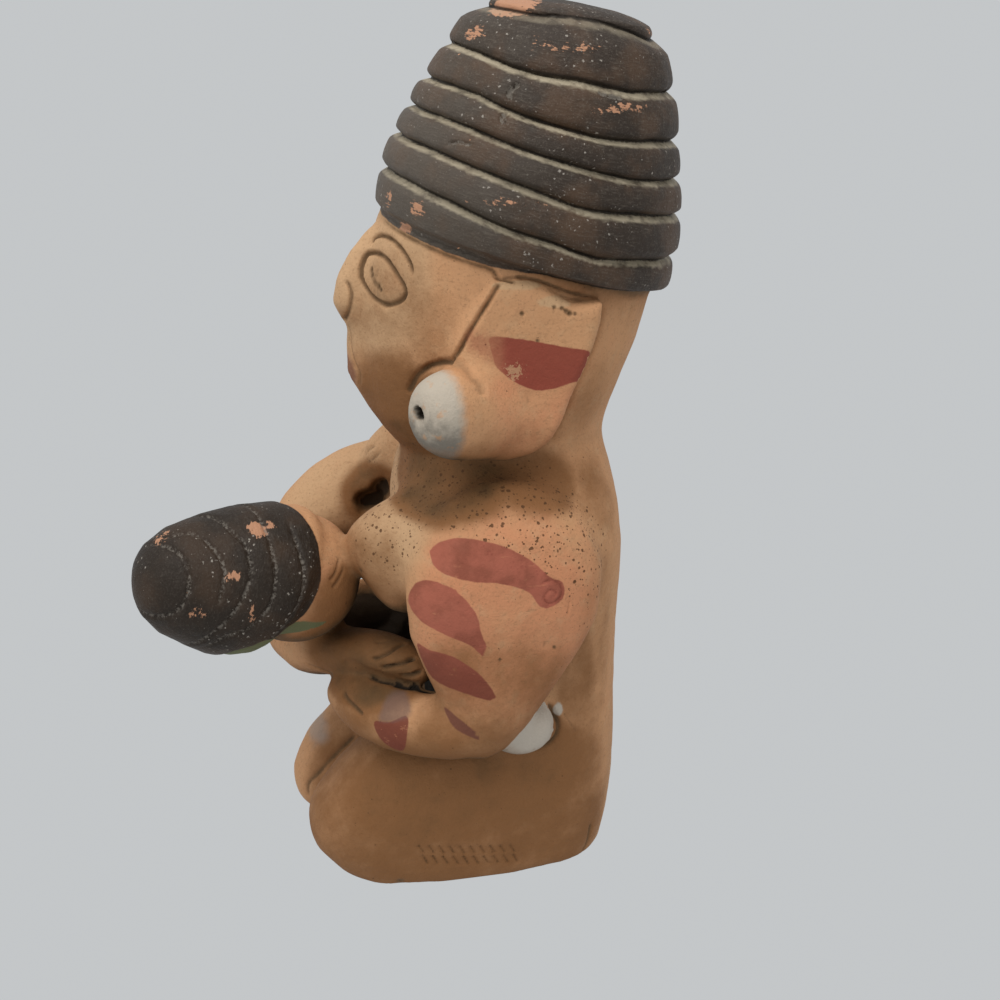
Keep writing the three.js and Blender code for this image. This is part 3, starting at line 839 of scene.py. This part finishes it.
def insideOutline(points, normals, outline, mirrored=False):
    facing = np.array(paintFrom)
    corners = np.array(outline, float)
    if mirrored:
        facing = facing * (-1, 1, 1)
        corners = corners * (-1, 1, 1)
    across = np.cross((0, 0, 1), facing)
    across /= np.linalg.norm(across)
    flat = np.stack([across, np.cross(facing, across)], axis=1)
    loop = smoothPath(corners @ flat, closed=True, gap=0.6)
    spots = points @ flat
    deep = points @ facing
    middle = (corners @ facing).mean()
    near = ((spots > loop.min(0) + farOff) & (spots < loop.max(0) - farOff)).all(1)
    near &= (np.abs(deep - middle) < 22) & (normals @ facing > 0.2)
    signed = np.full(len(points), float(farOff))
    chosen = np.flatnonzero(near)
    gap = np.full(len(chosen), np.inf)
    crossings = np.zeros(len(chosen), int)
    here = spots[chosen]
    for start, end in zip(loop, np.roll(loop, -1, axis=0)):
        side = end - start
        share = np.clip(((here - start) @ side) / max(1e-9, side @ side), 0, 1)
        gap = np.minimum(gap, np.linalg.norm(here - start - share[:, None] * side, axis=1))
        straddles = (start[1] > here[:, 1]) != (end[1] > here[:, 1])
        rise = end[1] - start[1] if abs(end[1] - start[1]) > 1e-9 else 1e-9
        crossings += straddles & (here[:, 0] < start[0] + (here[:, 1] - start[1]) * side[0] / rise)
    signed[chosen] = np.where(crossings % 2 == 1, gap, -gap)
    return np.clip(signed, farOff, -farOff)


def keepEdge(piece, name, inside):
    keep(piece, name, np.clip(inside, farOff, -farOff))


def onBothSides(points, normals, outline):
    return np.maximum(insideOutline(points, normals, outline),
                      insideOutline(points, normals, outline, True))


def markPaint(piece):
    points = readPoints(piece)
    normals = readNormals(piece)
    share, angle, radius = aroundTurban(points)
    rim = (share - levelAt(coilRim, angle)) * turban["height"]
    capShare, capAngle, capAway = aroundCap(points)
    capEdge = (capShare - levelAt(capRim, capAngle)) * cap["length"]
    nearCap = (capAway < 28) & (capShare > -0.4) & (capShare < 1.3) & (points[:, 1] < -45)
    capEdge = np.where(nearCap, capEdge, farOff)
    keepEdge(piece, "slip", np.maximum(rim, capEdge))
    strip = 31 - 0.2 * (capAngle + 118)  # its width along the cap, narrowing towards her left
    alongRim = np.minimum(capAngle + 118, -22 - capAngle) * 0.4
    green = np.minimum(np.minimum(-capEdge, capEdge + strip), alongRim)
    keepEdge(piece, "green", np.where(nearCap, green, farOff))

    red = np.full(len(points), float(farOff))
    for outline in leaves + [forearmRed]:
        red = np.maximum(red, insideOutline(points, normals, outline))
    keep(piece, "ochre", red)
    band = onBothSides(points, normals, earBand)
    onPlaque = (np.abs(points[:, 0]) > 40.5) | (points[:, 1] < 15)
    keep(piece, "band", np.where(onPlaque, band, np.minimum(band, -2)))
    keep(piece, "faded", onBothSides(points, normals, earFaded))
    keep(piece, "lilac", insideOutline(points, normals, forearmGrey))
    keep(piece, "plum", insideOutline(points, normals, elbowLeaf))
    keep(piece, "stain", zoneAmount(points, [[-21, -53, 30, 14, 9, 4.5, 1]]))
    keep(piece, "star", 1 - distance(points, (43.3, 5.4, 179.6), (5, 4.5, 4.5)))

    mirrored = np.abs(points[:, 0]), points[:, 1], points[:, 2]
    tubeEnd = 0.3 * (mirrored[0] - 50) - 14.2 - mirrored[1]
    onTube = (mirrored[0] > 39) & (mirrored[2] > 148) & (mirrored[2] < 188) & (mirrored[1] < 4)
    keepEdge(piece, "blueGrey", np.where(onTube, tubeEnd, farOff))
    foot = 11.5 - distance(points, (46, 12, 57), (1.2, 1.05, 1))
    foot = np.where((points > (41.5, -2, 49.5)).all(1), foot, farOff)
    heel = 2.1 - distance(points, (40.3, 21.3, 62.5), (1, 0.8, 1.3))
    keepEdge(piece, "white", np.maximum(foot, heel))
    # The inside of each tube's hole, which the material paints near black as shade
    axis = np.array(hole["inward"]) / np.linalg.norm(hole["inward"])
    away = np.stack(mirrored, axis=1) - hole["end"]
    deep = away @ axis
    poked = hole["radius"] - np.linalg.norm(away - deep[:, None] * axis, axis=1)
    keep(piece, "poke", np.where(np.abs(deep) < 12, np.clip(poked, farOff, -farOff), farOff))
    keepEdge(piece, "lip", 4 * (1 - distance(points, (0, -38, 170.5), (6, 6, 5))))

    part, _ = coilPlace(share, angle)
    onCoils = (share > -0.03) & (radius < 60)
    onCoil = onCoils & (part >= 0)
    dust = np.where(onCoil, ease((part - 0.85) / 0.04), 0)
    dust *= np.where(share > 0.76, 0.35, 1)
    # The furrow under each coil's lower edge, which the material paints near black as its shadow
    furrow = np.where(onCoil, np.maximum(ease(1.2 - part / 0.11), ease((part - 0.955) / 0.03)), 0)
    worn = np.full(len(points), float(farOff))
    for x, y, z, long, high in scuffs:
        flatGap = np.hypot(points[:, 0] - x, points[:, 1] - y) / long
        worn = np.maximum(worn, high * (1 - np.hypot(flatGap, (points[:, 2] - z) / high)))
    keep(piece, "scuff", worn)
    keep(piece, "dust", dust)
    keep(piece, "furrow", furrow)
    turn = np.radians(np.where(onCoils, angle, capAngle))
    up = np.where(onCoils, share * turban["height"], capShare * cap["length"])
    wrap = np.stack([np.cos(turn), np.sin(turn), up], axis=1)
    layer = piece.data.attributes.new("wrap", "FLOAT_VECTOR", "POINT")
    layer.data.foreach_set("vector", wrap.ravel())
    print("paint marked")


# Rounds of smoothing that a hollow and a small nook are measured against, and the size of a step
spread = {"hollow": 60, "nook": 8, "step": 0.8}


def markHollows(piece):
    # How far a point lies below its rubbed-out surroundings, small and large, for the dirt and painted
    # shade in recesses
    points = readPoints(piece)
    normals = readNormals(piece)
    pairs, count = readNeighbours(piece)
    smooth = points.copy()
    for turn in range(spread["hollow"]):
        smooth += spread["step"] * (neighbourMean(smooth, pairs, count) - smooth)
        if turn == spread["nook"] - 1:
            keep(piece, "nook", ((smooth - points) * normals).sum(1))
    keep(piece, "hollow", ((smooth - points) * normals).sum(1))
    keep(piece, "freckle", zoneAmount(points, freckles))
    keep(piece, "umberAndShade", zoneAmount(points, umberAndShadeZones))
    keep(piece, "pale", zoneAmount(points, paleAndHighlightZones))
    keep(piece, "rosy", zoneAmount(points, rosyZones))


# Where the chest and shoulder are specked
freckles = [
    [1, -21, 136, 26, 18, 20, 0.9],
    [20, -14, 140, 30, 22, 20, 1],
    [38, 0, 136, 28, 28, 24, 1],
    [46, 14, 130, 26, 24, 26, 1],
    [46, 26, 122, 20, 18, 24, 0.9],
    [28, -28, 126, 24, 18, 20, 0.9],
    [10, -36, 122, 18, 14, 18, 0.7],
    [50, 24, 112, 16, 14, 20, 0.6],
]

# Clay that fired browner or got handled more, partly painted shade under the arms, ears, breast and the
# child's head: flank, knees, jaw, under the ears, the child's cheek, hands, elbow and the far hollow. Above
# 1 it is dark painted shade.
umberAndShadeZones = [
    [44, -12, 40, 26, 74, 36, 1.05],
    [42, 0, 14, 30, 76, 30, 0.85],
    [20, -48, 16, 44, 34, 34, 0.75],
    [14, -48, 34, 44, 30, 44, 0.75],
    [24, -40, 78, 34, 30, 18, 1.3],
    [30, -34, 62, 30, 26, 16, 0.72],
    [56, -5, 78, 20, 40, 34, 0.62],
    [54, -12, 64, 18, 26, 16, 0.7],
    [44, 30, 72, 14, 14, 34, 0.7],
    [24, -28, 176, 36, 32, 60, 0.42],
    [22, -26, 160, 28, 28, 32, 0.95],
    [24, -20, 152, 24, 26, 14, 1.2],
    [28, -13, 141, 34, 32, 15, 1.3],
    [36, 12, 141, 24, 24, 14, 0.8],
    [48, 2, 156, 14, 26, 14, 0.4],
    [18, -52, 88, 20, 18, 14, 1.25],
    [12, -22, 140, 24, 20, 12, 0.9],
    [22, -34, 116, 26, 18, 22, 0.6],
    [20, -38, 104, 16, 14, 14, 1.1],
    [22, -46, 100, 22, 20, 20, 0.9],
    [44, 32, 84, 30, 16, 60, 0.4],
    [38, 40, 150, 20, 22, 40, 0.62],
    [-38, -26, 112, 16, 18, 16, 1.3],
    [-30, -50, 70, 34, 26, 22, 0.7],
    [-40, 0, 10, 60, 110, 70, 0.3],
    [0, 60, 10, 90, 60, 70, 0.3],
]
# Paler clay on the face, chest and far arm, and a painted highlight along the ears' top rims
paleAndHighlightZones = [[0, -30, 205, 46, 40, 44, 1], [43.5, 6, 205.5, 4, 12, 1.8, 1.3],
             [45, 18, 200.5, 4, 8, 2.2, 1.3], [10, -26, 124, 50, 26, 30, 0.8],
             [-40, -20, 112, 30, 60, 40, 0.6]]
rosyZones = [[56, 2, 104, 22, 46, 50, 1], [44, 14, 164, 16, 30, 26, 0.7], [14, -60, 104, 30, 20, 30, 0.6]]


sky = {
    "rays": 26,
    "quickRays": 14,
    "turn": 2.39996,  # golden angle in radians, which spreads the rays evenly
    "lift": 0.5,  # each ray starts this far off the clay
    "reach": 90,
}


def markSky(piece):
    # How much of the sky overhead each point sees; the material paints shade from it, darkening the clay
    # under overhangs
    points = readPoints(piece)
    normals = readNormals(piece)
    pairs, count = readNeighbours(piece)
    tree = BVHTree.FromObject(piece, bpy.context.evaluated_depsgraph_get())
    starts = [Vector(start) for start in ((points + sky["lift"] * normals) * mm).tolist()]
    openness = np.zeros(len(points))
    whole = 0
    rays = sky["rays"]
    for number in range(rays):
        high = (number + 0.5) / rays
        turn = number * sky["turn"]
        flat = math.sqrt(1 - high * high)
        ray = Vector((flat * math.cos(turn), flat * math.sin(turn), high))
        facing = normals @ np.array(ray)
        whole += high
        for index in np.flatnonzero(facing > 0.05).tolist():
            if tree.ray_cast(starts[index], ray, sky["reach"] * mm)[0] is None:
                openness[index] += facing[index]
    seen = openness[:, None] / whole
    for _ in range(4):
        seen = neighbourMean(seen, pairs, count)
    keep(piece, "sky", seen[:, 0])
    print("open sky marked")


markPaint(statue)
markHollows(statue)
markSky(statue)


# Fired clay and its paint, as one material

tints = {
    "clay": (0.60, 0.315, 0.155, 1),
    "clayPale": (0.60, 0.37, 0.20, 1),
    "clayOrange": (0.64, 0.27, 0.135, 1),
    "clayBrown": (0.33, 0.18, 0.09, 1),
    "umberAndShade": (0.225, 0.096, 0.032, 1),
    "cut": (0.16, 0.09, 0.042, 1),
    "grimeAndShade": (0.085, 0.051, 0.021, 1),
    # Near black, for painted shade in gaps, holes, furrows and under overhangs
    "deepShade": (0.014, 0.009, 0.005, 1),
    "slip": (0.040, 0.028, 0.020, 1),
    "slipBrown": (0.085, 0.050, 0.030, 1),
    "slipPale": (0.18, 0.150, 0.118, 1),
    "scratch": (0.23, 0.20, 0.165, 1),
    "dust": (0.44, 0.37, 0.26, 1),
    "chip": (0.58, 0.29, 0.165, 1),
    "speck": (0.46, 0.41, 0.35, 1),
    "ochre": (0.40, 0.110, 0.072, 1),
    "ochreDark": (0.185, 0.043, 0.027, 1),
    "band": (0.27, 0.050, 0.033, 1),
    "lilac": (0.19, 0.120, 0.100, 1),
    "plum": (0.17, 0.060, 0.040, 1),
    "blueGrey": (0.18, 0.19, 0.17, 1),
    "tubeCream": (0.50, 0.46, 0.38, 1),
    "stain": (0.34, 0.34, 0.33, 1),
    "green": (0.13, 0.145, 0.07, 1),
    "white": (0.56, 0.50, 0.42, 1),
    "lip": (0.20, 0.075, 0.045, 1),
    "freckle": (0.10, 0.045, 0.018, 1),
}


material = bpy.data.materials.new("terracotta")
material.use_nodes = True
tree = material.node_tree
shader = tree.nodes["Principled BSDF"]


def plug(socket, value):
    if isinstance(value, bpy.types.NodeSocket):
        tree.links.new(value, socket)
    else:
        socket.default_value = value


def addNode(kind, sockets=None, **settings):
    node = tree.nodes.new("ShaderNode" + kind)
    for name, value in settings.items():
        setattr(node, name, value)
    for name, value in (sockets or {}).items():
        plug(node.inputs[name], value)
    return node


def mixed(amount, under, over):
    node = addNode("Mix", data_type="RGBA")
    for index, value in ((0, amount), (6, under), (7, over)):
        plug(node.inputs[index], value)
    return node.outputs[2]


def sums(operation, first, second):
    node = addNode("Math", operation=operation)
    plug(node.inputs[0], first)
    plug(node.inputs[1], second)
    return node.outputs[0]


def plus(first, second):
    return sums("ADD", first, second)


def minus(first, second):
    return sums("SUBTRACT", first, second)


def times(first, second):
    return sums("MULTIPLY", first, second)


def swing(value, size):
    # Noise round 0.5 as a swing round 0
    return times(minus(value, 0.5), size)


def fade(value, low, high, toLow=0.0, toHigh=1.0):
    levels = {"Value": value, "From Min": low, "From Max": high, "To Min": toLow, "To Max": toHigh}
    return addNode("MapRange", levels, interpolation_type="SMOOTHSTEP").outputs[0]


def stored(name):
    return addNode("Attribute", attribute_name=name).outputs["Fac"]


def grain(vector, size, detail=3.0, rough=0.55):
    # Noise with features of about the given size in millimetres
    levels = {"Vector": vector, "Scale": 1 / (size * mm), "Detail": detail, "Roughness": rough}
    return addNode("TexNoise", levels).outputs["Fac"]


def fireClay():
    place = addNode("TexCoord").outputs["Object"]
    wrap = addNode("Attribute", attribute_name="wrap").outputs["Vector"]
    ragged = minus(grain(place, 2.2, 4), 0.5)
    fine = grain(place, 0.9, 3)
    broad = grain(place, 60, 2)
    middle = grain(place, 17, 4)

    # Bare clay, with its dirt, and painted shade under overhangs, in recesses and in the gaps
    smear = swing(middle, 0.8)
    paleness = plus(stored("pale"), swing(broad, 1.6))
    colour = mixed(fade(paleness, 0.1, 0.9), tints["clay"], tints["clayPale"])
    rosiness = plus(stored("rosy"), times(smear, 2.2))
    colour = mixed(fade(rosiness, 0.1, 1.1, 0, 0.9), colour, tints["clayOrange"])
    colour = mixed(fade(grain(place, 5, 5), 0.5, 0.72, 0, 0.35), colour, tints["clayPale"])
    wiped = addNode("Mapping", {"Vector": place, "Scale": (1, 1, 0.45)}).outputs[0]
    colour = mixed(fade(grain(wiped, 3.5, 5, 0.65), 0.52, 0.74, 0, 0.22), colour, tints["clayBrown"])
    colour = mixed(fade(fine, 0.52, 0.70, 0, 0.38), colour, tints["clayBrown"])
    raked = addNode("Mapping",
                    {"Vector": place, "Rotation": (0.5, 0.3, 0.6), "Scale": (1, 0.12, 1)}).outputs[0]
    scratch = fade(grain(raked, 1.3, 3, 0.7), 0.66, 0.72)
    colour = mixed(times(scratch, 0.35), colour, tints["clayBrown"])
    streaky = minus(grain(place, 8, 6, 0.68), 0.5)
    blotches = plus(smear, times(streaky, 0.55))
    # Browner clay, partly painted shade; above about 1 it darkens further as painted dark shade
    umberAndShade = plus(stored("umberAndShade"), times(blotches, fade(stored("umberAndShade"), 0, 0.4)))
    colour = mixed(fade(umberAndShade, 0.05, 0.95, 0, 0.9), colour, tints["umberAndShade"])
    colour = mixed(fade(umberAndShade, 0.9, 1.8, 0, 0.85), colour, tints["grimeAndShade"])
    # Painted shade from how little of the overhead sky a point sees: brown under overhangs, near black deep
    # in the gaps
    skyShade = plus(stored("sky"), times(blotches, 0.22))
    colour = mixed(fade(skyShade, 0.42, 0.10, 0, 0.8), colour, tints["umberAndShade"])
    colour = mixed(fade(skyShade, 0.22, 0.05, 0, 0.85), colour, tints["grimeAndShade"])
    colour = mixed(fade(skyShade, 0.11, 0.02, 0, 0.55), colour, tints["deepShade"])
    # Dirt and painted shade in recesses: brown in broad hollows, dark in small nooks
    hollow = plus(stored("hollow"), times(ragged, 0.5))
    colour = mixed(fade(hollow, 0.15, 2.4, 0, 0.55), colour, tints["clayBrown"])
    nook = plus(stored("nook"), times(ragged, 0.2))
    colour = mixed(fade(nook, 0.10, 0.60, 0, 0.55), colour, tints["grimeAndShade"])
    # Cut lines, pits, hollows and the tubes' holes darkened: dirt in the cuts and painted shade, near black
    # in the deepest
    dirtAndShade = stored("grimeAndShade")
    colour = mixed(fade(dirtAndShade, 0.12, 1.0, 0, 0.85), colour, tints["cut"])
    colour = mixed(fade(dirtAndShade, 0.9, 1.9, 0, 0.95), colour, tints["deepShade"])

    # Dark specks on the chest and shoulder, and a few anywhere
    for apart, least, biggest in ((1.7, 0.80, 0.36), (0.95, 0.86, 0.34)):
        cells = addNode("TexVoronoi", {"Vector": place, "Scale": 1 / (apart * mm), "Randomness": 1.0})
        chosen = addNode("SeparateColor", {"Color": cells.outputs["Color"]})
        chance = plus(chosen.outputs["Red"], times(stored("freckle"), 0.52))
        size = fade(chance, least, 1.5, 0.0, biggest)
        dot = minus(size, plus(cells.outputs["Distance"], times(ragged, 0.9)))
        colour = mixed(fade(dot, -0.03, 0.07, 0, 0.85), colour, tints["freckle"])

    # Paint, thinnest at its ragged edges
    def painted(under, name, tint, wear=1.4, soft=0.35, strength=0.93, patchy=0.64):
        inside = plus(stored(name), times(ragged, wear))
        cover = fade(inside, -soft, soft, 0, strength)
        thinning = fade(grain(place, 3.5, 5), patchy, patchy + 0.14, 1, 0.45)
        return mixed(times(cover, thinning), under, tint)

    bare = colour
    colour = painted(colour, "lip", tints["lip"], 2.0, 1.2, 0.75)
    brushed = mixed(fade(grain(place, 9, 4), 0.40, 0.66, 0, 0.6), tints["ochre"], tints["ochreDark"])
    axes = addNode("SeparateXYZ", {"Vector": place}).outputs
    brushed = mixed(fade(axes["Z"], 106 * mm, 84 * mm, 0, 0.95), brushed, tints["ochreDark"])
    worn = fade(grain(raked, 2.4, 4, 0.7), 0.62, 0.72, 0, 0.4)
    brushed = mixed(worn, brushed, tints["clayOrange"])
    colour = painted(colour, "ochre", brushed, 0.5, 0.25, 0.9, 0.66)
    colour = painted(colour, "faded", tints["band"], 3.0, 2.0, 0.40, 0.5)
    bandStrength = fade(axes["Y"], -1.5 * mm, 4 * mm, 0.5, 0.93)
    colour = painted(colour, "band", tints["band"], 0.5, 0.25, bandStrength, 0.66)
    picking = plus(stored("star"), swing(grain(place, 1.1, 4, 0.7), 3.0))
    colour = mixed(fade(picking, 0.48, 0.62, 0, 0.6), colour, tints["clayPale"])
    colour = painted(colour, "lilac", tints["lilac"], 1.4, 1.0, 0.65)
    colour = painted(colour, "plum", tints["plum"], 0.5, 0.3, 0.9, 0.7)
    colour = mixed(times(stored("stain"), 0.45), colour, tints["stain"])
    tubeTop = plus(axes["Z"], swing(grain(place, 6, 5, 0.65), 26 * mm))
    tube = mixed(fade(tubeTop, 163 * mm, 174 * mm), tints["blueGrey"], tints["tubeCream"])
    colour = painted(colour, "blueGrey", tube, 3.0, 2.4, 0.85, 0.58)
    colour = painted(colour, "white", tints["white"], 1.2, 0.5, 0.9)
    # Painted shade over the paint: where little sky is seen the shaded bare clay comes back, and the
    # darkest umber and shade zones darken it further, as low on the tubes
    colour = mixed(fade(skyShade, 0.30, 0.08, 0, 0.5), colour, bare)
    colour = mixed(fade(umberAndShade, 1.0, 1.9, 0, 0.6), colour, tints["grimeAndShade"])
    colour = painted(colour, "green", tints["green"], 1.0, 0.5, 0.95)
    # Painted shade over all the paint: near black in the deepest lines, pits and gaps, and inside the
    # tubes' holes
    colour = mixed(fade(dirtAndShade, 1.0, 1.9, 0, 0.9), colour, tints["deepShade"])
    colour = mixed(fade(stored("poke"), -0.5, 0.05, 0, 0.96), colour, tints["deepShade"])

    # Dark slip brushed along the coils
    streakPlace = addNode("Mapping", {"Vector": wrap, "Scale": (12, 12, 1.7)}).outputs[0]
    streak = addNode("TexNoise",
                     {"Vector": streakPlace, "Scale": 1.0, "Detail": 5.0, "Roughness": 0.65}).outputs["Fac"]
    slip = mixed(fade(middle, 0.4, 0.65), tints["slip"], tints["slipBrown"])
    slip = mixed(fade(streak, 0.50, 0.78, 0, 0.45), slip, tints["slipPale"])
    slip = mixed(fade(grain(place, 0.6, 3, 0.7), 0.54, 0.70, 0, 0.4), slip, tints["slipPale"])
    # The slip is paler towards the front of the turban, higher up
    front = plus(axes["Y"], swing(middle, 60 * mm))
    paleTowardsFront = times(fade(front, 20 * mm, -35 * mm, 0, 0.45), fade(axes["Z"], 180 * mm, 200 * mm))
    slip = mixed(paleTowardsFront, slip, tints["slipPale"])
    # Painted shade: the slip darker towards the bottom, over the child's cap
    slip = mixed(fade(axes["Z"], 170 * mm, 150 * mm, 0, 0.5), slip, tints["deepShade"])
    flecks = addNode("TexVoronoi", {"Vector": place, "Scale": 1 / (1.3 * mm), "Randomness": 1.0})
    picked = addNode("SeparateColor", {"Color": flecks.outputs["Color"]}).outputs["Green"]
    picked = plus(picked, fade(grain(place, 18, 3), 0.35, 0.65, -0.12, 0.22))
    speck = fade(picked, 0.72, 1.2, 0.0, 0.34)
    broken = swing(grain(place, 0.5, 2), 1.1)
    speck = minus(speck, plus(flecks.outputs["Distance"], broken))
    speckled = fade(speck, -0.02, 0.16, 0, 0.65)
    slip = mixed(speckled, slip, tints["speck"])
    chips = plus(grain(place, 7, 5, 0.6), times(ragged, 0.12))
    slip = mixed(fade(chips, 0.745, 0.755), slip, tints["chip"])
    missing = plus(stored("scuff"), times(ragged, 6.0))
    missing = plus(missing, swing(streak, 5.0))
    slip = mixed(fade(missing, 0.1, 0.6, 0, 0.85), slip, tints["chip"])
    dusty = times(stored("dust"), fade(grain(place, 6, 5, 0.65), 0.32, 0.55, 0.3, 1))
    slip = mixed(times(dusty, 0.95), slip, tints["dust"])
    # Painted shadow in the furrow under each coil's overhanging edge
    slip = mixed(fade(stored("furrow"), 0.3, 1, 0, 0.9), slip, tints["deepShade"])
    scratched = times(stored("grimeAndShade"), fade(grain(place, 1.2, 4, 0.7), 0.42, 0.60, 0.2, 1))
    slip = mixed(fade(scratched, 0.1, 0.7, 0, 0.8), slip, tints["scratch"])
    slipEdge = plus(stored("slip"), times(ragged, 1.0))
    slipped = fade(slipEdge, -0.25, 0.25)
    colour = mixed(slipped, colour, slip)
    tree.links.new(colour, shader.inputs["Base Color"])

    roughness = fade(slipped, 0, 1, 0.78, 0.56)
    roughness = plus(roughness, swing(fine, 0.25))
    tree.links.new(roughness, shader.inputs["Roughness"])
    shader.inputs["Specular IOR Level"].default_value = 0.22

    # Grain of the clay and the drag of the brush
    skin = swing(grain(place, 0.7, 3), 0.14 * mm)
    skin = minus(skin, times(scratch, 0.05 * mm))
    lumps = swing(grain(place, 3.0, 4), 0.45 * mm)
    drag = times(times(streak, slipped), 0.25 * mm)
    height = plus(plus(skin, lumps), drag)
    bump = addNode("Bump", {"Height": height, "Strength": 1.0, "Distance": 1.0})
    tree.links.new(bump.outputs["Normal"], shader.inputs["Normal"])


fireClay()
statue.data.materials.clear()
statue.data.materials.append(material)
print("clay painted")

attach(statue, "root")
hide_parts("mother_and_child")
